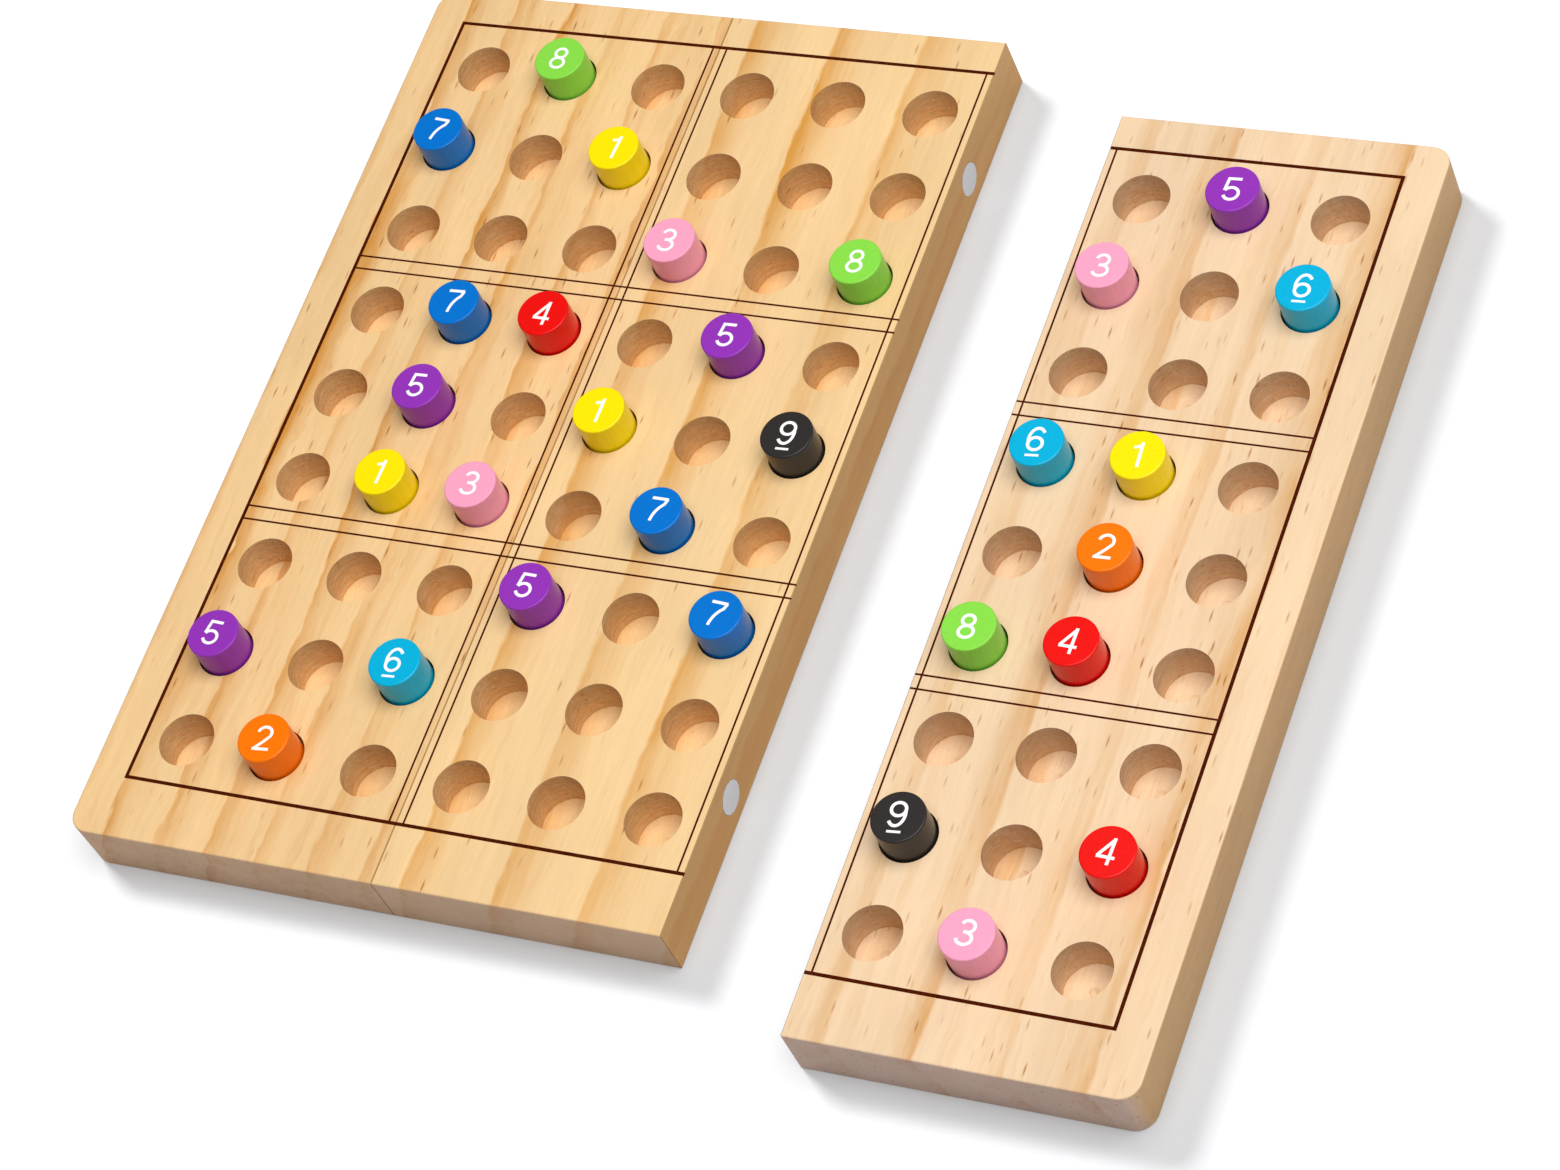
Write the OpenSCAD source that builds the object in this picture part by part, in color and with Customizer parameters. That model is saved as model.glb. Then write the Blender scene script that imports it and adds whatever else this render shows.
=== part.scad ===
// Wooden sudoku board. Three pine panels close edge to edge by disc magnets let into their
// mating edges. Together they carry nine rows of nine blind sockets, in which painted number
// pegs stand. The right panel is drawn off and lies beside the other two.
// Millimetres. +X runs along the rows, +Y points to the far edge, +Z is up.
// The origin is the centre of the middle panel's underside.

/* [Panels] */
// Distance between neighbouring sockets
pitch = 24; // [20:0.5:32]
// Thickness of the panels
panel_t = 15; // [13:0.5:24]
// From the outer columns of sockets to the board's long sides
side_border = 20.5; // [16:0.5:30]
// From the first row of sockets to the far edge
far_border = 22.5; // [18:0.5:32]
// From the last row of sockets to the near edge
near_border = 27; // [18:0.5:36]
// Radius of the board's four outer corners, seen from above
corner_r = 5; // [3:0.5:8]
// Radius of the sanded edges
edge_r = 0.5; // [0.2:0.1:2]
// Bevel round the mating faces, which shows as a hairline where a seam is closed
seam_bevel = 0.2; // [0.1:0.05:0.5]

/* [Right panel] */
// How far the right panel is drawn off to the right
drawn_off_x = 35; // [5:1:80]
// How far the right panel has slid toward the near edge
drawn_off_y = 17.5; // [0:0.5:60]

/* [Sockets] */
// Diameter of the sockets
socket_d = 13.6; // [10:0.2:16]
// Depth of the sockets down to their flat floor
socket_depth = 10; // [5:0.5:11]
// Diameter of the pit that the drill's centre point leaves in the floor
pit_d = 2.4; // [1:0.2:4]
// Depth of that pit below the floor
pit_depth = 0.8; // [0.2:0.1:2]

/* [Pegs] */
// Play between a peg and the wall of its socket, all round
peg_play = 0.5; // [0.2:0.1:1]
// Height that the pegs stand above the panels
peg_rise = 8; // [4:0.5:16]
// Radius of the eased rims of the pegs
peg_ease = 0.4; // [0.1:0.1:1]

/* [Magnets] */
// Diameter of the magnets
magnet_d = 8; // [5:0.5:10]
// Thickness of the magnets
magnet_t = 3; // [1:0.5:5]
// Play between a magnet and the wall of its pocket, all round
magnet_play = 0.1; // [0.05:0.05:0.3]

/* [Burnt lines] */
// Width of the line that frames the whole grid
frame_line_w = 0.9; // [0.5:0.1:1.5]
// Width of the paired lines that part the blocks
block_line_w = 0.5; // [0.3:0.1:0.8]
// Distance between the two lines of a pair, centre to centre
pair_spread = 3.6; // [1.5:0.1:5]
// From the outer columns of sockets to the frame line
frame_side = 11; // [10:0.5:14]
// From the outer rows of sockets to the frame line
frame_end = 12.4; // [10:0.1:15]
// How far the burnt grid lies off the drilled one, toward the far edge
line_shift = 0.8; // [0:0.1:1.5]
// Depth of the burnt lines
line_depth = 0.3; // [0.1:0.1:0.6]

/* [Hidden] */
$fn = 64;
// How far a cut runs past the face that it opens
overrun = 1;

// Digits on show, row by row from the far edge; 0 is an empty socket
GRID = [
    [0, 8, 0, 0, 0, 0, 0, 5, 0],
    [7, 0, 1, 0, 0, 0, 3, 0, 6],
    [0, 0, 0, 3, 0, 8, 0, 0, 0],
    [0, 7, 4, 0, 5, 0, 6, 1, 0],
    [0, 5, 0, 1, 0, 9, 0, 2, 0],
    [0, 1, 3, 0, 7, 0, 8, 4, 0],
    [0, 0, 0, 5, 0, 7, 0, 0, 0],
    [5, 0, 6, 0, 0, 0, 9, 0, 4],
    [0, 2, 0, 0, 0, 0, 0, 3, 0]
];
// Paint of the pegs, from digit 1 to digit 9
PAINT_NAMES = ["yellow", "orange", "pink", "red", "purple", "cyan", "blue", "green", "black"];
PAINTS = ["#f7d90a", "#ff8210", "#f2a9cb", "#d9191c", "#8330b0", "#1fadd0", "#0b6fd0", "#6fd24c", "#2d2d30"];
PINE = "#f0ca95";
STEEL = "#c9cacc";

// Rows and columns of sockets, and the columns that one panel carries
grid_n = len(GRID);
block_n = grid_n / 3;

// Mating edges lie half a pitch outside a panel's columns
seam_x = block_n * pitch / 2;
middle_w = 2 * seam_x;
outer_w = (block_n - 1) * pitch + pitch / 2 + side_border;
panel_l = far_border + (grid_n - 1) * pitch + near_border;
far_y = panel_l / 2;
drawn_off = [drawn_off_x, -drawn_off_y, 0];

socket_floor = panel_t - socket_depth;
peg_d = socket_d - 2 * peg_play;
peg_l = socket_depth + peg_rise;
pocket_d = magnet_d + 2 * magnet_play;

// Panels by number, from the left
LEFT = 0;
MIDDLE = 1;
RIGHT = 2;

// Mating edges: name, the panel that it belongs to, its seam's side and the way into the wood
MATING_EDGES = [
    ["left_inner", LEFT, -1, -1],
    ["middle_left", MIDDLE, -1, 1],
    ["middle_right", MIDDLE, 1, -1],
    ["right_inner", RIGHT, 1, 1]
];
// Magnets sit midway between the two rows next to each end: name and first of the two rows
MAGNET_ENDS = [["far", 1], ["near", grid_n - 1]];

// Pegs as row, column and digit
PEGS = [
    for (row = [1:grid_n])
        for (column = [1:grid_n])
            if (GRID[row - 1][column - 1] > 0)
                [row, column, GRID[row - 1][column - 1]]
];

function column_x(column) = (column - (grid_n + 1) / 2) * pitch;
function row_y(row) = far_y - far_border - (row - 1) * pitch;
function panel_of(column) = floor((column - 1) / block_n);
function panel_place(panel) = panel == RIGHT ? drawn_off : [0, 0, 0];
function magnet_name(edge, end) = str(edge[0], "_magnet_", end[0]);
function peg_name(peg) = str(PAINT_NAMES[peg[2] - 1], "_peg_r", peg[0], "c", peg[1]);

// Rectangle from the origin, square at its start and with both corners of its end rounded
module rounded_bar(length, height, r) {
    square([length - r, height]);
    translate([0, r])
        square([length, height - 2 * r]);
    for (y = [r, height - r])
        translate([length - r, y])
            circle(r);
}

// Profile of a panel along its length, sanded round at both ends
module lengthwise_profile() {
    for (flip = [0, 1])
        mirror([flip, 0])
            rounded_bar(panel_l / 2, panel_t, edge_r);
}

// Board as wide as given from x = 0, with its ends sanded round
module board_stock(width) {
    rotate([90, 0, 90])
        linear_extrude(width)
            lengthwise_profile();
}

// Wood that falls away at an outer corner: a block less the post that stays
module corner_waste() {
    difference() {
        translate([0, 0, -overrun])
            cube([corner_r + overrun, corner_r + overrun, panel_t + 2 * overrun]);
        rotate_extrude()
            rounded_bar(corner_r, panel_t, edge_r);
    }
}

// Outer panel before drilling, with its mating edge at x = 0 and its long side to the right
module outer_blank() {
    difference() {
        intersection() {
            board_stock(outer_w);
            translate([0, far_y, 0])
                rotate([90, 0, 0])
                    linear_extrude(panel_l)
                        rounded_bar(outer_w, panel_t, edge_r);
        }
        for (flip = [0, 1])
            mirror([0, flip, 0])
                translate([outer_w - corner_r, far_y - corner_r, 0])
                    corner_waste();
    }
}

// What the drill takes out of one socket: a flat floor with the pit of its centre point
module socket_bore() {
    rotate_extrude()
        polygon([
            [0, -pit_depth],
            [pit_d / 2, 0],
            [socket_d / 2, 0],
            [socket_d / 2, socket_depth + overrun],
            [0, socket_depth + overrun]
        ]);
}

// All the sockets of one panel
module sockets(panel) {
    for (row = [1:grid_n])
        for (column = [panel * block_n + 1:(panel + 1) * block_n])
            translate([column_x(column), row_y(row), socket_floor])
                socket_bore();
}

// Disc on a mating edge that runs into the wood from the seam, less a lead out of it
module edge_disc(edge, end, d, lead) {
    translate([edge[2] * seam_x - edge[3] * lead, row_y(end[1]) - pitch / 2, panel_t / 2])
        rotate([0, edge[3] * 90, 0])
            cylinder(d = d, h = magnet_t + lead);
}

// What the bevel takes off along one edge of a mating face, both sides of the seam at once
module bevel_cut(length) {
    linear_extrude(length, center = true)
        circle(seam_bevel, $fn = 4);
}

// Bevels round the mating faces of one panel
module seam_bevels(panel) {
    for (edge = MATING_EDGES)
        if (edge[1] == panel)
            translate([edge[2] * seam_x, 0, panel_t / 2])
                for (side = [-1, 1]) {
                    translate([0, 0, side * panel_t / 2])
                        rotate([90, 0, 0])
                            bevel_cut(panel_l + overrun);
                    translate([0, side * far_y, 0])
                        bevel_cut(panel_t + overrun);
                }
}

// Pockets for the magnets of one panel
module magnet_pockets(panel) {
    for (edge = MATING_EDGES)
        if (edge[1] == panel)
            for (end = MAGNET_ENDS)
                edge_disc(edge, end, pocket_d, overrun);
}

// One straight burnt line between two corners of its centre line
module burnt_line(from, to, w) {
    translate([from.x - w / 2, from.y - w / 2, panel_t - line_depth])
        cube([to.x - from.x + w, to.y - from.y + w, line_depth + overrun]);
}

// Burnt grid of the closed board: a frame, and a pair of lines between blocks both ways
module burnt_grid() {
    x = column_x(grid_n) + frame_side;
    near = row_y(grid_n) - frame_end + line_shift;
    far = row_y(1) + frame_end + line_shift;
    for (y = [near, far])
        burnt_line([-x, y], [x, y], frame_line_w);
    for (side = [-x, x])
        burnt_line([side, near], [side, far], frame_line_w);
    for (last = [block_n, 2 * block_n])
        for (side = [-1, 1]) {
            line_x = column_x(last) + pitch / 2 + side * pair_spread / 2;
            line_y = row_y(last) - pitch / 2 + line_shift + side * pair_spread / 2;
            burnt_line([line_x, near], [line_x, far], block_line_w);
            burnt_line([-x, line_y], [x, line_y], block_line_w);
        }
}

// A blank with one panel's sockets, pockets, bevels and share of the burnt grid cut into it
module finished_panel(panel) {
    color(PINE)
        translate(panel_place(panel))
            difference() {
                children();
                sockets(panel);
                magnet_pockets(panel);
                seam_bevels(panel);
                burnt_grid();
            }
}

module left_panel() {
    finished_panel(LEFT)
        translate([-seam_x, 0, 0])
            mirror([1, 0, 0])
                outer_blank();
}

module middle_panel() {
    finished_panel(MIDDLE)
        translate([-seam_x, 0, 0])
            board_stock(middle_w);
}

module right_panel() {
    finished_panel(RIGHT)
        translate([seam_x, 0, 0])
            outer_blank();
}

module magnet(edge, end) {
    color(STEEL)
        translate(panel_place(edge[1]))
            edge_disc(edge, end, magnet_d, 0);
}

// Turned peg that stands on the floor of its socket
module peg(row, column, digit) {
    color(PAINTS[digit - 1])
        translate(panel_place(panel_of(column)))
            translate([column_x(column), row_y(row), socket_floor])
                rotate_extrude()
                    rounded_bar(peg_d / 2, peg_l, peg_ease);
}

left_panel();
middle_panel();
right_panel();
for (edge = MATING_EDGES)
    for (end = MAGNET_ENDS)
        magnet(edge, end);
for (p = PEGS)
    peg(p[0], p[1], p[2]);
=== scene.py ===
import math
import random

import bmesh
import bpy
from mathutils import Matrix, Vector
from mathutils.geometry import delaunay_2d_cdt


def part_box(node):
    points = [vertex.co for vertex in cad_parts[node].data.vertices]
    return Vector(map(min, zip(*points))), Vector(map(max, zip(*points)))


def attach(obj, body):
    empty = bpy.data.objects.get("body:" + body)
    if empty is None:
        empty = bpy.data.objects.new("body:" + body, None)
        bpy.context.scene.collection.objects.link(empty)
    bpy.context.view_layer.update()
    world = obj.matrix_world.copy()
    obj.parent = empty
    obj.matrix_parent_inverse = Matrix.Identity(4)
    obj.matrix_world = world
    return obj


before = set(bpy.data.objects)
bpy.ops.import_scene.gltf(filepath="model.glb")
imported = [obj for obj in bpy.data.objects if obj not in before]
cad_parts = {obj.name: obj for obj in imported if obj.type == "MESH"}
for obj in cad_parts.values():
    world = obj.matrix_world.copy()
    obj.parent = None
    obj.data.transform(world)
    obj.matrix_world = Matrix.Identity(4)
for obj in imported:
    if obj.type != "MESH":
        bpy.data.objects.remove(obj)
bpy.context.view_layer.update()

# Panels: three boards of fast-grown, knot-free pine, planed, sanded and left without varnish. Their
# wide yearly rings stand steeply in the boards and show as soft bands along them. The sockets are
# drilled from above with a flat-bottomed bit, which leaves rings round the walls and torn fibres.
MM = 0.001
PANEL_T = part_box("middle_panel")[1].z
PEG_PLAY = 0.5 * MM
row_5_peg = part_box("yellow_peg_r5c4")
ROW_5_Y = (row_5_peg[0].y + row_5_peg[1].y) / 2
PITCH = -(row_5_peg[0].x + row_5_peg[1].x) / 2
SOCKET_R = (row_5_peg[1].x - row_5_peg[0].x) / 2 + PEG_PLAY
SOCKET_FLOOR = row_5_peg[0].z
OUTER_SOCKET = 4 * PITCH
SEAM_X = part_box("middle_panel")[1].x
SEAM_BEVEL = 0.2 * MM
# How far each panel lies from its place in the closed board
PANEL_OFFSETS = {
    "left_panel": Vector((0, 0, 0)),
    "middle_panel": Vector((0, 0, 0)),
    "right_panel": Vector((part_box("right_panel")[0].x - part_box("middle_panel")[1].x,
                           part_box("right_panel")[0].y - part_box("middle_panel")[0].y, 0)),
}
# Sizes of the wood's patterns across the grain
GRAIN_BEND = 30 * MM
BAND_PATCH = 14 * MM
STREAK_W = 3.4 * MM
FIBRE_W = 0.7 * MM
CLOUD_W = 18 * MM
DUCT_GAP = 1.3 * MM
BIT_RING_GAP = 0.6 * MM
TORN_FIBRE_W = 1.1 * MM
# The patterns are drawn out along the grain, so lengths along Y count for less
BENDS_ALONG = (1, 0.3, 1)
STREAKS_ALONG = (1, 0.06, 1)
FIBRES_ALONG = (1, 0.05, 1)
DUCTS_ALONG = (1, 0.16, 1)
TEARS_ALONG = (1, 0.4, 1)
# Shares of a ring's width between which its late wood lies
LATE_WOOD_START = 0.4
LATE_WOOD_END = 0.94
# How far the tints of sockets and bevels reach past them, and fade out below a socket's rim
DRILL_MARGIN = 0.1 * MM
BEVEL_MARGIN = 0.01 * MM
RIM_FADE = 0.4 * MM
DUCT_BROWN = "#a5672c"
# Tints of the sawn sides and ends: partly their grain, partly painted shade on these faces
SAWN_SIDE_AND_SHADE_TINT = "#d8c7ae"
END_GRAIN_AND_SHADE_TINT = "#d9d5ed"
# Painted shade in the bevels beside the seams
SEAM_SHADE_TINT = "#d2c8bd"
# Brown of the drill marks, partly painted shade on the socket walls
DRILL_MARK_AND_SHADE_BROWN = "#bb8247"


def linear(colour):
    """An sRGB hex colour as linear red, green, blue and alpha."""
    channels = [int(colour[k:k + 2], 16) / 255 for k in (1, 3, 5)]
    return [c / 12.92 if c <= 0.04045 else ((c + 0.055) / 1.055) ** 2.4 for c in channels] + [1]


def add(tree, kind, inputs, **settings):
    """Adds a node, sets it up and feeds its sockets with values, or with other nodes' outputs."""
    node = tree.nodes.new("ShaderNode" + kind)
    for name, value in settings.items():
        setattr(node, name, value)
    for socket in node.inputs:
        source = inputs.get(socket.identifier)
        if isinstance(source, bpy.types.Node):
            source = next(s for s in source.outputs if s.enabled)
        if isinstance(source, bpy.types.NodeSocket):
            tree.links.new(source, socket)
        elif source is not None:
            socket.default_value = source
    return node


def new_material(name):
    """An empty material and its node tree."""
    material = bpy.data.materials.new(name)
    material.use_nodes = True
    material.node_tree.nodes.clear()
    return material, material.node_tree


def pine(name, pale, dark, ring, edge_x, pith, wander, strength, streaks, ducts, offset):
    """Sanded pine. Going toward the bark each ring darkens slowly and ends in a sharp edge; thin
    streaks and short brown resin ducts run along the grain. Sawn ends look greyer and duller, and the
    long sides browner; both tints are partly the sawn grain and partly painted shade on those faces.
    One ring ends at edge_x on the top face. The pith is the tree's axis, and wander is how far the
    grain strays from it. Strength is the least and the most that a ring's band shows."""
    material, tree = new_material(name)
    place = add(tree, "TexCoord", {}).outputs["Object"]
    facing = add(tree, "SeparateXYZ", {"Vector": add(tree, "TexCoord", {}).outputs["Normal"]})
    end_share = add(tree, "Math", {"Value": facing.outputs["Y"]}, operation="ABSOLUTE")
    side_share = add(tree, "Math", {"Value": facing.outputs["X"]}, operation="ABSOLUTE")
    face_share = add(tree, "Math", {"Value": facing.outputs["Z"]}, operation="ABSOLUTE")

    # The grain runs along Y and wavers across it, broadly and in small steps
    slow = add(tree, "VectorMath", {"Vector": place, "Vector_001": BENDS_ALONG}, operation="MULTIPLY")
    bend = add(tree, "TexNoise", {"Vector": slow, "Scale": 1 / GRAIN_BEND, "Detail": 5, "Roughness": 0.75})
    bend = add(tree, "Math", {"Value": bend, "Value_001": 0.5}, operation="SUBTRACT")
    sway = add(tree, "Math", {"Value": bend, "Value_001": wander}, operation="MULTIPLY")
    sway = add(tree, "CombineXYZ", {"X": sway})
    grain = add(tree, "VectorMath", {"Vector": place, "Vector_001": sway}, operation="ADD")

    # Rings round the pith, which lies along Y, below the board and beside it
    spokes = add(tree, "VectorMath", {"Vector": grain, "Vector_001": pith}, operation="SUBTRACT")
    spokes = add(tree, "VectorMath", {"Vector": spokes, "Vector_001": (1, 0, 1)}, operation="MULTIPLY")
    radius = add(tree, "VectorMath", {"Vector": spokes}, operation="LENGTH").outputs["Value"]
    edge_r = math.hypot(edge_x - pith[0], PANEL_T - pith[2])
    age = add(tree, "Math", {"Value": radius, "Value_001": edge_r}, operation="SUBTRACT")
    age = add(tree, "Math", {"Value": age, "Value_001": ring}, operation="DIVIDE")
    year = add(tree, "Math", {"Value": age}, operation="FLOOR")
    season = add(tree, "Math", {"Value": age}, operation="FRACT")
    growth = add(tree, "TexWhiteNoise", {"W": year}, noise_dimensions="1D").outputs["Value"]
    growth = add(tree, "MapRange", {"Value": growth, "To Min": strength[0], "To Max": strength[1]})
    late = add(tree, "MapRange", {"Value": season, "From Min": LATE_WOOD_START, "From Max": LATE_WOOD_END})
    late = add(tree, "Math", {"Value": late, "Value_001": 1.8}, operation="POWER")
    stop = add(tree, "MapRange", {"Value": season, "From Min": LATE_WOOD_END, "From Max": 1,
                                  "To Min": 1, "To Max": 0}, interpolation_type="SMOOTHSTEP")
    late = add(tree, "Math", {"Value": late, "Value_001": stop}, operation="MULTIPLY")
    late = add(tree, "Math", {"Value": late, "Value_001": growth}, operation="MULTIPLY")

    # The bands come and go along the board, and hardly show on sawn sides and ends
    patch = add(tree, "TexNoise", {"Vector": slow, "Scale": 1 / BAND_PATCH, "Detail": 3, "Roughness": 0.6})
    patch = add(tree, "MapRange", {"Value": patch, "From Min": 0.3, "From Max": 0.65,
                                   "To Min": 0.35, "To Max": 1.15})
    late = add(tree, "Math", {"Value": late, "Value_001": patch}, operation="MULTIPLY")
    shown = add(tree, "MapRange", {"Value": face_share, "To Min": 0.45})
    late = add(tree, "Math", {"Value": late, "Value_001": shown}, operation="MULTIPLY")

    # Streaks a millimetre or two wide, drawn out along the grain, break the bands up
    drawn = add(tree, "VectorMath", {"Vector": grain, "Vector_001": STREAKS_ALONG}, operation="MULTIPLY")
    streak = add(tree, "TexNoise", {"Vector": drawn, "Scale": 1 / STREAK_W, "Detail": 4, "Roughness": 0.6})
    streak = add(tree, "MapRange", {"Value": streak, "From Min": 0.3, "From Max": 0.7,
                                    "To Min": -streaks, "To Max": streaks})
    tone = add(tree, "Math", {"Value": late, "Value_001": streak}, operation="ADD", use_clamp=True)
    colour = add(tree, "Mix", {"Factor_Float": tone, "A_Color": linear(pale), "B_Color": linear(dark)},
                 data_type="RGBA")

    # Fibres as thin as a hair, and broad clouds, lighten and darken the wood all over
    hairs = add(tree, "VectorMath", {"Vector": grain, "Vector_001": FIBRES_ALONG}, operation="MULTIPLY")
    fibre = add(tree, "TexNoise", {"Vector": hairs, "Scale": 1 / FIBRE_W, "Detail": 3, "Roughness": 0.6})
    cloud = add(tree, "TexNoise", {"Vector": slow, "Scale": 1 / CLOUD_W, "Detail": 2})
    shade = add(tree, "MapRange", {"Value": fibre, "From Min": 0.25, "From Max": 0.75,
                                   "To Min": 0.94, "To Max": 1.04})
    mottle = add(tree, "MapRange", {"Value": cloud, "From Min": 0.3, "From Max": 0.7,
                                    "To Min": 0.95, "To Max": 1.04})
    shade = add(tree, "Math", {"Value": shade, "Value_001": mottle}, operation="MULTIPLY")
    colour = add(tree, "Mix", {"Factor_Float": 1, "A_Color": colour.outputs[2], "B_Color": shade},
                 data_type="RGBA", blend_type="MULTIPLY")

    # Resin ducts, most of them in late wood: half a millimetre thick and about four long
    spread = add(tree, "VectorMath", {"Vector": place, "Vector_001": DUCTS_ALONG}, operation="MULTIPLY")
    duct = add(tree, "TexVoronoi", {"Vector": spread, "Scale": 1 / DUCT_GAP})
    chosen = add(tree, "SeparateColor", {"Color": duct.outputs["Color"]}).outputs["Red"]
    chosen = add(tree, "Math", {"Value": late, "Value_001": 0.3, "Value_002": chosen},
                 operation="MULTIPLY_ADD")
    chosen = add(tree, "MapRange", {"Value": chosen, "From Min": 1 - ducts, "From Max": 1.05})
    spindle = add(tree, "MapRange", {"Value": duct.outputs["Distance"], "From Min": 0.08, "From Max": 0.26,
                                     "To Min": 1, "To Max": 0})
    spindle = add(tree, "Math", {"Value": spindle, "Value_001": chosen}, operation="MULTIPLY")
    stain = add(tree, "Math", {"Value": spindle, "Value_001": 0.9}, operation="MULTIPLY")
    colour = add(tree, "Mix", {"Factor_Float": stain, "A_Color": colour.outputs[2],
                               "B_Color": linear(DUCT_BROWN)}, data_type="RGBA")

    # Drilled walls and floors, known by their distance from the nearest socket's axis
    row_5 = offset + Vector((0, ROW_5_Y, 0))
    off_row_5 = add(tree, "VectorMath", {"Vector": place, "Vector_001": row_5}, operation="SUBTRACT")
    axis = add(tree, "VectorMath", {"Vector": off_row_5, "Vector_001": [PITCH / 2] * 3}, operation="ADD")
    axis = add(tree, "VectorMath", {"Vector": axis, "Vector_001": [PITCH] * 3}, operation="SNAP")
    axis = add(tree, "VectorMath", {"Vector": axis, "Vector_001": [OUTER_SOCKET] * 3}, operation="MINIMUM")
    axis = add(tree, "VectorMath", {"Vector": axis, "Vector_001": [-OUTER_SOCKET] * 3}, operation="MAXIMUM")
    spoke = add(tree, "VectorMath", {"Vector": off_row_5, "Vector_001": axis}, operation="SUBTRACT")
    spoke = add(tree, "VectorMath", {"Vector": spoke, "Vector_001": (1, 1, 0)}, operation="MULTIPLY")
    reach = add(tree, "VectorMath", {"Vector": spoke}, operation="LENGTH").outputs["Value"]
    height = add(tree, "SeparateXYZ", {"Vector": place}).outputs["Z"]
    drilled = add(tree, "Math", {"Value": reach, "Value_001": SOCKET_R + DRILL_MARGIN},
                  operation="LESS_THAN")
    below = add(tree, "MapRange", {"Value": height, "From Min": PANEL_T - RIM_FADE, "From Max": PANEL_T,
                                   "To Min": 1, "To Max": 0})
    above = add(tree, "Math", {"Value": height, "Value_001": SOCKET_FLOOR / 2}, operation="GREATER_THAN")
    drilled = add(tree, "Math", {"Value": drilled, "Value_001": below}, operation="MULTIPLY")
    drilled = add(tree, "Math", {"Value": drilled, "Value_001": above}, operation="MULTIPLY")

    # Sawn faces: the long sides are browner and the ends greyer, partly for the sawn grain and partly as
    # painted shade on those faces, but not inside the sockets
    outside = add(tree, "Math", {"Value": 1, "Value_001": drilled}, operation="SUBTRACT")
    side = add(tree, "MapRange", {"Value": side_share, "From Min": 0.5, "From Max": 0.95})
    side = add(tree, "Math", {"Value": side, "Value_001": outside}, operation="MULTIPLY")
    colour = add(tree, "Mix", {"Factor_Float": side, "A_Color": colour.outputs[2],
                               "B_Color": linear(SAWN_SIDE_AND_SHADE_TINT)}, data_type="RGBA", blend_type="MULTIPLY")
    end = add(tree, "MapRange", {"Value": end_share, "From Min": 0.5, "From Max": 0.95})
    end = add(tree, "Math", {"Value": end, "Value_001": outside}, operation="MULTIPLY")
    colour = add(tree, "Mix", {"Factor_Float": end, "A_Color": colour.outputs[2],
                               "B_Color": linear(END_GRAIN_AND_SHADE_TINT)}, data_type="RGBA", blend_type="MULTIPLY")

    # Painted shade in the bevels of the mating edges draws the seams as thin darker lines
    across = add(tree, "SeparateXYZ", {"Vector": off_row_5}).outputs["X"]
    across = add(tree, "Math", {"Value": across}, operation="ABSOLUTE")
    mating = add(tree, "Math", {"Value": across, "Value_001": SEAM_X,
                                "Value_002": SEAM_BEVEL + BEVEL_MARGIN}, operation="COMPARE")
    slanted = add(tree, "Math", {"Value": side_share, "Value_001": 0.7, "Value_002": 0.15},
                  operation="COMPARE")
    seam_shade = add(tree, "Math", {"Value": mating, "Value_001": slanted}, operation="MULTIPLY")
    colour = add(tree, "Mix", {"Factor_Float": seam_shade, "A_Color": colour.outputs[2],
                               "B_Color": linear(SEAM_SHADE_TINT)}, data_type="RGBA", blend_type="MULTIPLY")

    # The bit's rings round walls and floors, with torn fibres between them, painted in brown. The brown
    # lies heavier on the walls than on the floors, so it also paints shade into the sockets.
    turn = add(tree, "CombineXYZ", {"X": reach, "Y": height})
    chatter = add(tree, "TexNoise", {"Vector": turn, "Scale": 1 / BIT_RING_GAP, "Detail": 2})
    torn = add(tree, "VectorMath", {"Vector": place, "Vector_001": TEARS_ALONG}, operation="MULTIPLY")
    tear = add(tree, "TexNoise", {"Vector": torn, "Scale": 1 / TORN_FIBRE_W, "Detail": 4, "Roughness": 0.7})
    scuff = add(tree, "Math", {"Value": chatter, "Value_001": 0.4, "Value_002": tear},
                operation="MULTIPLY_ADD")
    scuff = add(tree, "MapRange", {"Value": scuff, "From Min": 0.45, "From Max": 0.95})
    marks_and_shade = add(tree, "MapRange", {"Value": scuff, "To Min": 0.55, "To Max": 0})
    wall = add(tree, "MapRange", {"Value": face_share, "To Min": 1, "To Max": 0.3})
    marks_and_shade = add(tree, "Math", {"Value": marks_and_shade, "Value_001": wall}, operation="MULTIPLY")
    marks_and_shade = add(tree, "Math", {"Value": marks_and_shade, "Value_001": drilled}, operation="MULTIPLY")
    colour = add(tree, "Mix", {"Factor_Float": marks_and_shade, "A_Color": colour.outputs[2],
                               "B_Color": linear(DRILL_MARK_AND_SHADE_BROWN)}, data_type="RGBA")

    # Relief: raised fibres, sunken ducts, and deeper scuffs where the bit has been
    relief = add(tree, "Math", {"Value": spindle, "Value_001": -0.5, "Value_002": fibre},
                 operation="MULTIPLY_ADD")
    furrow = add(tree, "Math", {"Value": scuff, "Value_001": drilled}, operation="MULTIPLY")
    relief = add(tree, "Math", {"Value": furrow, "Value_001": 3, "Value_002": relief},
                 operation="MULTIPLY_ADD")
    bump = add(tree, "Bump", {"Height": relief, "Strength": 0.5, "Distance": 0.06 * MM})
    rough = add(tree, "MapRange", {"Value": fibre, "To Min": 0.55, "To Max": 0.7})
    shader = add(tree, "BsdfPrincipled", {"Base Color": colour.outputs[2], "Roughness": rough,
                                          "Normal": bump, "Specular IOR Level": 0.25})
    add(tree, "OutputMaterial", {"Surface": shader})
    return material


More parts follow.
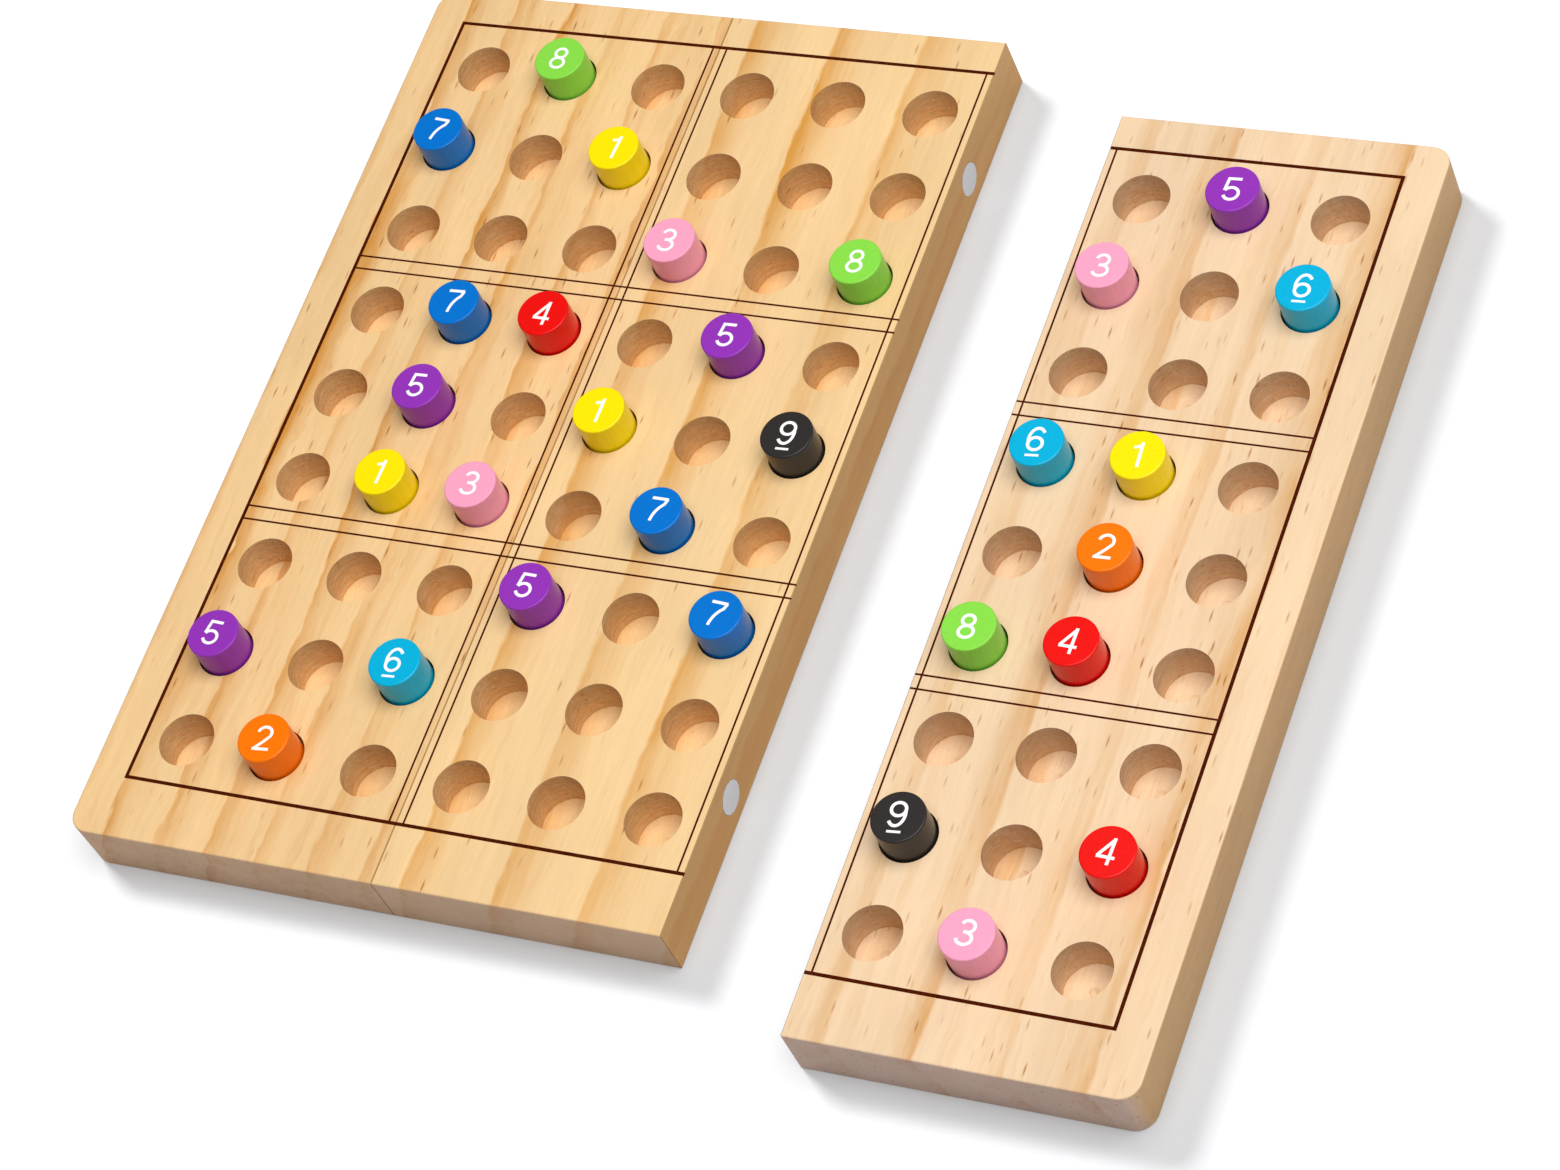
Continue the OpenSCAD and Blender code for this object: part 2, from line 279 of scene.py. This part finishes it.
WOODS = {
    "left_panel": pine(
        "sanded_pine_left", "#ebc58f", "#cf8e3c", ring=12.5 * MM, edge_x=-67 * MM,
        pith=(110 * MM, 0, -60 * MM), wander=13 * MM, strength=(0.6, 1.25), streaks=0.22, ducts=0.4,
        offset=PANEL_OFFSETS["left_panel"]),
    "middle_panel": pine(
        "sanded_pine_middle", "#ebc792", "#d29440", ring=20.5 * MM, edge_x=15.6 * MM,
        pith=(160 * MM, 0, -60 * MM), wander=9 * MM, strength=(0.8, 1.1), streaks=0.12, ducts=0.16,
        offset=PANEL_OFFSETS["middle_panel"]),
    "right_panel": pine(
        "sanded_pine_right", "#e8caa5", "#d09a59", ring=19 * MM, edge_x=82 * MM,
        pith=(-120 * MM, 0, -60 * MM), wander=9 * MM, strength=(0.35, 1), streaks=0.2, ducts=0.5,
        offset=PANEL_OFFSETS["right_panel"]),
}
for panel, wood in WOODS.items():
    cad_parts[panel].material_slots[0].material = wood

# Burnt lines: a frame round all nine columns and a pair of fine lines between blocks, scorched
# into the wood. The char fills shallow grooves that run on over the bevels and across the seams.
FRAME_LINE_W = 0.9 * MM
BLOCK_LINE_W = 0.5 * MM
PAIR_SPREAD = 3.6 * MM
FRAME_X = OUTER_SOCKET + 11 * MM
FRAME_Y = OUTER_SOCKET + 12.4 * MM
BLOCK_EDGE = 1.5 * PITCH
LINES_MID_Y = ROW_5_Y + 0.8 * MM
GROOVE_DEPTH = 0.3 * MM
CHAR_INSET = 0.01 * MM
CHAR_GRAIN = 0.8 * MM
# Tolerances of the mesh tools, and the kind of triangles that they keep
SAME_POINT = 1e-7
ON_PLANE = 1e-8
FLAT_ANGLE = 0.001
INSIDE_ONLY = 1


def flat_solid(name, outlines, low, high):
    """A thin solid over the joined area of several outlines, which may overlap, from low to high.
    Each outline runs anticlockwise."""
    points = [Vector(p) for outline in outlines for p in outline]
    faces = []
    for outline in outlines:
        start = sum(len(f) for f in faces)
        faces.append(range(start, start + len(outline)))
    flat, _, triangles, _, _, sources = delaunay_2d_cdt(points, [], faces, INSIDE_ONLY, SAME_POINT)
    mesh = bmesh.new()
    corners = [mesh.verts.new((p.x, p.y, low)) for p in flat]
    for triangle, source in zip(triangles, sources):
        if source:
            mesh.faces.new([corners[k] for k in triangle])
    bmesh.ops.delete(mesh, geom=[c for c in mesh.verts if not c.link_faces], context="VERTS")
    mesh.normal_update()
    bmesh.ops.dissolve_limit(mesh, angle_limit=FLAT_ANGLE, verts=mesh.verts[:], edges=mesh.edges[:])
    raised = bmesh.ops.extrude_face_region(mesh, geom=mesh.faces[:], use_keep_orig=True)
    for corner in (g for g in raised["geom"] if isinstance(g, bmesh.types.BMVert)):
        corner.co.z = high
    bmesh.ops.recalc_face_normals(mesh, faces=mesh.faces[:])
    data = bpy.data.meshes.new(name)
    mesh.to_mesh(data)
    mesh.free()
    piece = bpy.data.objects.new(name, data)
    bpy.context.scene.collection.objects.link(piece)
    return piece


def stripe(x0, x1, y0, y1):
    """Outline of a straight line's rectangle."""
    return [(x0, y0), (x1, y0), (x1, y1), (x0, y1)]


def follow_bevel(piece, start, slope):
    """Takes off what stands out over a bevel that starts at a point and faces along a slope."""
    mesh = bmesh.new()
    mesh.from_mesh(piece.data)
    whole = mesh.verts[:] + mesh.edges[:] + mesh.faces[:]
    cut = bmesh.ops.bisect_plane(mesh, geom=whole, dist=ON_PLANE, plane_co=start, plane_no=slope,
                                 clear_outer=True)
    rims = [g for g in cut["geom_cut"] if isinstance(g, bmesh.types.BMEdge)]
    bmesh.ops.holes_fill(mesh, edges=rims)
    bmesh.ops.recalc_face_normals(mesh, faces=mesh.faces[:])
    mesh.to_mesh(piece.data)
    mesh.free()


def charred_pine():
    """Scorched pine: dull dark brown, a little uneven where the fibres burnt to different depths."""
    material, tree = new_material("charred_pine")
    place = add(tree, "TexCoord", {}).outputs["Object"]
    grain = add(tree, "TexNoise", {"Vector": place, "Scale": 1 / CHAR_GRAIN, "Detail": 3})
    tone = add(tree, "MapRange", {"Value": grain, "From Min": 0.3, "From Max": 0.7})
    colour = add(tree, "Mix", {"Factor_Float": tone, "A_Color": linear("#3a1104"),
                               "B_Color": linear("#551c03")}, data_type="RGBA")
    bump = add(tree, "Bump", {"Height": grain, "Strength": 0.6, "Distance": 0.05 * MM})
    rough = add(tree, "MapRange", {"Value": grain, "To Min": 0.7, "To Max": 0.9})
    shader = add(tree, "BsdfPrincipled", {"Base Color": colour.outputs[2], "Roughness": rough,
                                          "Normal": bump, "Specular IOR Level": 0})
    add(tree, "OutputMaterial", {"Surface": shader})
    return material


char = charred_pine()
near_y = LINES_MID_Y - FRAME_Y
far_y = LINES_MID_Y + FRAME_Y
for panel, offset in PANEL_OFFSETS.items():
    low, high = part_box(panel)
    left = max(low.x - offset.x + CHAR_INSET, -FRAME_X - FRAME_LINE_W / 2)
    right = min(high.x - offset.x - CHAR_INSET, FRAME_X + FRAME_LINE_W / 2)
    lines = [stripe(left, right, y - FRAME_LINE_W / 2, y + FRAME_LINE_W / 2) for y in (near_y, far_y)]
    for x in (-FRAME_X, FRAME_X):
        lines.append(stripe(x - FRAME_LINE_W / 2, x + FRAME_LINE_W / 2, near_y, far_y))
    for block in (-1, 1):
        for side in (-1, 1):
            x = block * BLOCK_EDGE + side * PAIR_SPREAD / 2
            y = LINES_MID_Y + block * BLOCK_EDGE + side * PAIR_SPREAD / 2
            lines.append(stripe(x - BLOCK_LINE_W / 2, x + BLOCK_LINE_W / 2, near_y, far_y))
            lines.append(stripe(left, right, y - BLOCK_LINE_W / 2, y + BLOCK_LINE_W / 2))
    own = [[(x + offset.x, y + offset.y) for x, y in line] for line in lines if left <= line[0][0] < right]
    burnt = flat_solid(panel + "_burnt_lines", own, PANEL_T - GROOVE_DEPTH, PANEL_T - CHAR_INSET)
    follow_bevel(burnt, Vector((low.x + SEAM_BEVEL, 0, PANEL_T - CHAR_INSET)), Vector((-1, 0, 1)))
    follow_bevel(burnt, Vector((high.x - SEAM_BEVEL, 0, PANEL_T - CHAR_INSET)), Vector((1, 0, 1)))
    burnt.data.materials.append(char)
    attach(burnt, panel)

# Magnets: nickel-plated neodymium discs, pressed flush into the mating edges, two to an edge.
# They are bought in as they are, tumbled and plated, and hold the three panels together.
TUMBLING_SCUFF = 0.6 * MM


def plated_nickel():
    """Barrel-plated nickel: pale grey and satin, with faint scuffs from the tumbling."""
    material, tree = new_material("plated_nickel")
    place = add(tree, "TexCoord", {}).outputs["Object"]
    scuff = add(tree, "TexNoise", {"Vector": place, "Scale": 1 / TUMBLING_SCUFF, "Detail": 5,
                                   "Roughness": 0.65})
    tone = add(tree, "Mix", {"Factor_Float": scuff, "A_Color": linear("#c3c4c8"),
                             "B_Color": linear("#e4e4e6")}, data_type="RGBA")
    rough = add(tree, "MapRange", {"Value": scuff, "To Min": 0.28, "To Max": 0.5})
    bump = add(tree, "Bump", {"Height": scuff, "Strength": 0.2, "Distance": 0.02 * MM})
    shader = add(tree, "BsdfPrincipled", {"Base Color": tone.outputs[2], "Metallic": 1, "Roughness": rough,
                                          "Normal": bump})
    add(tree, "OutputMaterial", {"Surface": shader})
    return material


nickel = plated_nickel()
for name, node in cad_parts.items():
    if "_magnet_" in name:
        node.material_slots[0].material = nickel

# Pegs: turned hardwood dowels with eased rims, dipped in glossy paint, one colour for each digit.
# They stand loose in the sockets, so a dark gap shows beside each.
PEG_PAINTS = {
    "yellow": "#fbe300",
    "orange": "#f97600",
    "pink": "#f6a1c0",
    "red": "#ea0f0a",
    "purple": "#9133b4",
    "cyan": "#03aed8",
    "blue": "#0271cc",
    "green": "#87da48",
    "black": "#302d2c",
}
PAINT_RIPPLE_W = 0.9 * MM
PAINT_PIT_GAP = 0.55 * MM
RIPPLES_UPRIGHT = (1, 1, 0.08)


def dipped_paint(name, colour):
    """Dipped enamel on turned wood: smooth and half glossy, with the fibres showing through as a
    faint ripple, and small pits in the tops where the end grain drank the paint."""
    material, tree = new_material(name)
    place = add(tree, "TexCoord", {}).outputs["Object"]
    facing = add(tree, "SeparateXYZ", {"Vector": add(tree, "TexCoord", {}).outputs["Normal"]})
    upright = add(tree, "VectorMath", {"Vector": place, "Vector_001": RIPPLES_UPRIGHT},
                  operation="MULTIPLY")
    ripple = add(tree, "TexNoise", {"Vector": upright, "Scale": 1 / PAINT_RIPPLE_W, "Detail": 3})
    pit = add(tree, "TexNoise", {"Vector": place, "Scale": 1 / PAINT_PIT_GAP, "Detail": 2})
    pit = add(tree, "MapRange", {"Value": pit, "From Min": 0.6, "From Max": 0.72})
    top = add(tree, "MapRange", {"Value": facing.outputs["Z"], "From Min": 0.9, "From Max": 0.99})
    pit = add(tree, "Math", {"Value": pit, "Value_001": top}, operation="MULTIPLY")
    shade = add(tree, "MapRange", {"Value": ripple, "From Min": 0.3, "From Max": 0.7,
                                   "To Min": 0.955, "To Max": 1.01})
    tone = add(tree, "Mix", {"Factor_Float": 1, "A_Color": linear(colour), "B_Color": shade},
               data_type="RGBA", blend_type="MULTIPLY")
    relief = add(tree, "Math", {"Value": pit, "Value_001": -1.2, "Value_002": ripple},
                 operation="MULTIPLY_ADD")
    bump = add(tree, "Bump", {"Height": relief, "Strength": 0.25, "Distance": 0.04 * MM})
    rough = add(tree, "MapRange", {"Value": ripple, "To Min": 0.24, "To Max": 0.34})
    shader = add(tree, "BsdfPrincipled", {"Base Color": tone.outputs[2], "Roughness": rough,
                                          "Normal": bump, "Specular IOR Level": 0.24})
    add(tree, "OutputMaterial", {"Surface": shader})
    return material


paints = {paint: dipped_paint(paint + "_enamel", colour) for paint, colour in PEG_PAINTS.items()}
pegs = {name: node for name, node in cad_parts.items() if "_peg_" in name}
for name, node in pegs.items():
    node.material_slots[0].material = paints[name.split("_")[0]]

# Digits: pad-printed in white ink on the pegs' tops. Six and nine are underlined, so that they
# can't be mistaken for each other. Each print sits a little turned and a little off its peg's centre.
DIGIT_H = 6.45 * MM
STROKE_SHARE = 0.114
INK_T = 0.05 * MM
INK_SUNK = 0.01 * MM
MOST_TURN = math.radians(5)
MOST_SHIFT = 0.25 * MM
PRINT_GRAIN = 0.5 * MM
LOOP_GAP = 1e-6
DIGITS = {paint: digit for digit, paint in enumerate(PEG_PAINTS, start=1)}
UNDERLINED = (6, 9)


def arc(x, y, rx, ry, start, end, steps):
    """Points along part of an ellipse, from one angle to another in degrees."""
    turns = [math.radians(start + (end - start) * k / steps) for k in range(steps + 1)]
    return [(x + rx * math.cos(t), y + ry * math.sin(t)) for t in turns]


def ribbon(line, width):
    """Outlines of a stroke of even width, one four-sided outline for each step along a line. A line
    that ends where it starts is closed without a joint."""
    points = [Vector(p) for p in line]
    closed = (points[0] - points[-1]).length < LOOP_GAP
    edges = []
    for k, point in enumerate(points):
        before = points[k - 1] if k else points[-2] if closed else None
        after = points[k + 1] if k + 1 < len(points) else points[1] if closed else None
        go = (after - point).normalized() if after else (point - before).normalized()
        come = (point - before).normalized() if before else go
        across = Vector((-come.y - go.y, come.x + go.x)).normalized()
        reach = across * width / 2 / across.dot(Vector((-go.y, go.x)))
        edges.append((point - reach, point + reach))
    return [(a[0], b[0], b[1], a[1]) for a, b in zip(edges, edges[1:])]


# Centre lines of the digits' strokes, in shares of the digit's height, from its bottom's middle
DIGIT_STROKE_SHARES = {
    1: [[(0.1, 0), (0.1, 1)], [(0.12, 0.9), (0.04, 0.83), (-0.17, 0.78)]],
    2: [arc(0, 0.69, 0.265, 0.25, 170, -25, 18) + [(0.06, 0.38), (-0.25, 0.07)],
        [(-0.32, 0.061), (0.32, 0.061)]],
    3: [arc(-0.02, 0.725, 0.235, 0.214, 165, -90, 18), arc(-0.02, 0.286, 0.275, 0.225, 90, -165, 20),
        [(-0.12, 0.511), (0, 0.511)]],
    4: [[(0.13, 0), (0.13, 1)], [(0.14, 0.96), (-0.3, 0.29)], [(-0.33, 0.28), (0.32, 0.28)]],
    5: [[(0.28, 0.939), (-0.19, 0.939), (-0.26, 0.44)], arc(0, 0.316, 0.275, 0.255, 152, -160, 22)],
    6: [arc(0.01, 0.311, 0.262, 0.25, 0, 360, 32), arc(0.03, 0.5, 0.295, 0.439, 205, 38, 22)],
    7: [[(-0.31, 0.939), (0.31, 0.939)], [(0.29, 0.94)] + arc(0.62, -0.02, 0.72, 0.9, 124, 178, 12)],
    8: [arc(0, 0.734, 0.222, 0.205, 0, 360, 28), arc(0, 0.29, 0.268, 0.229, 0, 360, 32)],
}
DIGIT_STROKE_SHARES[9] = [[(-x, 1 - y) for x, y in stroke] for stroke in DIGIT_STROKE_SHARES[6]]
UNDERLINE_SHARES = [(-0.25, -0.16), (0.25, -0.16)]
UNDERLINE_STROKE_SHARE = 0.09
UNDERLINED_RISE_SHARE = 0.08


def white_ink():
    """Pad-printed ink: a thin, opaque white film with a slightly uneven edge and a soft sheen."""
    material, tree = new_material("white_pad_ink")
    place = add(tree, "TexCoord", {}).outputs["Object"]
    film = add(tree, "TexNoise", {"Vector": place, "Scale": 1 / PRINT_GRAIN, "Detail": 3})
    tone = add(tree, "Mix", {"Factor_Float": film, "A_Color": linear("#f1f1f1"),
                             "B_Color": linear("#ffffff")}, data_type="RGBA")
    rough = add(tree, "MapRange", {"Value": film, "To Min": 0.4, "To Max": 0.6})
    bump = add(tree, "Bump", {"Height": film, "Strength": 0.2, "Distance": 0.02 * MM})
    shader = add(tree, "BsdfPrincipled", {"Base Color": tone.outputs[2], "Roughness": rough,
                                          "Normal": bump})
    add(tree, "OutputMaterial", {"Surface": shader})
    return material


ink = white_ink()
chance = random.Random(24)
for name, node in pegs.items():
    low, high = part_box(name)
    digit = DIGITS[name.split("_")[0]]
    outlines = [step for stroke in DIGIT_STROKE_SHARES[digit] for step in ribbon(stroke, STROKE_SHARE)]
    rise = 0
    if digit in UNDERLINED:
        outlines += ribbon(UNDERLINE_SHARES, UNDERLINE_STROKE_SHARE)
        rise = UNDERLINED_RISE_SHARE
    turn = Matrix.Rotation(chance.uniform(-MOST_TURN, MOST_TURN), 2)
    shift = Vector((chance.uniform(-MOST_SHIFT, MOST_SHIFT), chance.uniform(-MOST_SHIFT, MOST_SHIFT)))
    middle = (low + high).xy / 2 + shift
    placed = [[middle + turn @ (Vector((x, y - 0.5 + rise)) * DIGIT_H) for x, y in step]
              for step in outlines]
    digit_print = flat_solid(name + "_digit", placed, high.z - INK_SUNK, high.z + INK_T)
    digit_print.data.materials.append(ink)
    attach(digit_print, name)

# Studio: a seamless white table under one large softbox that hangs over the board, a little to its
# right. A lamp at the far left lights the table alone, so the board's shadow falls to the near right.
FLOOR_HALF = 4
FLOOR_DROP = 0.1 * MM
EGGSHELL_W = 3 * MM
# The table's own glow: painted light that lifts the shadows on it
TABLE_GLOW = 0.18
ROOM_LIGHT = 0.15
BANK_PLACE = Vector((0.45, 0, 1.5))
BANK_SIZE = (1.3, 1.5)
BANK_POWER = 32
LAMP_PLACE = Vector((-1.8, 1.1, 2.5))
LAMP_SIZE = (0.9, 0.9)
LAMP_POWER = 130


def white_laminate():
    """Matt white table top: nearly even, with a faint eggshell texture. It glows a little, a painted light
    that lifts the shadows cast on it.
    """
    material, tree = new_material("white_laminate")
    place = add(tree, "TexCoord", {}).outputs["Object"]
    shell = add(tree, "TexNoise", {"Vector": place, "Scale": 1 / EGGSHELL_W, "Detail": 2})
    tone = add(tree, "Mix", {"Factor_Float": shell, "A_Color": linear("#adaeb0"),
                             "B_Color": linear("#b1b2b4")}, data_type="RGBA")
    rough = add(tree, "MapRange", {"Value": shell, "To Min": 0.7, "To Max": 0.8})
    shader = add(tree, "BsdfPrincipled", {"Base Color": tone.outputs[2], "Roughness": rough,
                                          "Specular IOR Level": 0.1, "Emission Color": linear("#ffffff"),
                                          "Emission Strength": TABLE_GLOW})
    add(tree, "OutputMaterial", {"Surface": shader})
    return material


table_mesh = bpy.data.meshes.new("table")
corners = [(x * FLOOR_HALF, y * FLOOR_HALF, -FLOOR_DROP) for x, y in ((-1, -1), (1, -1), (1, 1), (-1, 1))]
table_mesh.from_pydata(corners, [], [(0, 1, 2, 3)])
table = bpy.data.objects.new("table", table_mesh)
bpy.context.scene.collection.objects.link(table)
table.data.materials.append(white_laminate())

room = bpy.data.worlds.new("room")
room.use_nodes = True
room.node_tree.nodes["Background"].inputs["Color"].default_value = linear("#ffffff")
room.node_tree.nodes["Background"].inputs["Strength"].default_value = ROOM_LIGHT
bpy.context.scene.world = room
room.cycles_visibility.glossy = False


def softbox(name, place, size, power):
    """A white softbox that faces the board from a place in the room."""
    light = bpy.data.lights.new(name, "AREA")
    light.shape = "RECTANGLE"
    light.size, light.size_y = size
    light.energy = power
    lamp = bpy.data.objects.new(name, light)
    lamp.location = place
    lamp.rotation_euler = place.to_track_quat("Z", "Y").to_euler()
    bpy.context.scene.collection.objects.link(lamp)
    return lamp


softbox("overhead_softbox", BANK_PLACE, BANK_SIZE, BANK_POWER)
lamp = softbox("table_lamp", LAMP_PLACE, LAMP_SIZE, LAMP_POWER)
lamp.light_linking.receiver_collection = bpy.data.collections.new("lit_by_table_lamp")
lamp.light_linking.receiver_collection.objects.link(table)

# Camera: a long lens that looks down on the board from beyond its near right corner. It leans to
# one side, so that the columns run up to the right, and aims beside the middle panel's centre.
VIEW_AZIMUTH = math.radians(44.42)
VIEW_ELEVATION = math.radians(52.78)
VIEW_ROLL = math.radians(-29.64)
VIEW_AIM = Vector((32.2 * MM, ROW_5_Y - 34 * MM, PANEL_T))
VIEW_DISTANCE = 1.1027
SENSOR_W = 36
LENS = 114.47

camera_data = bpy.data.cameras.new("camera")
camera_data.sensor_fit = "HORIZONTAL"
camera_data.sensor_width = SENSOR_W
camera_data.lens = LENS
camera = bpy.data.objects.new("camera", camera_data)
turned = Matrix.Rotation(VIEW_AZIMUTH, 4, "Z") @ Matrix.Rotation(math.pi / 2 - VIEW_ELEVATION, 4, "X")
camera.matrix_world = (Matrix.Translation(VIEW_AIM) @ turned @ Matrix.Translation((0, 0, VIEW_DISTANCE))
                       @ Matrix.Rotation(VIEW_ROLL, 4, "Z"))
bpy.context.scene.collection.objects.link(camera)
bpy.context.scene.camera = camera
bpy.context.scene.view_settings.view_transform = "Standard"
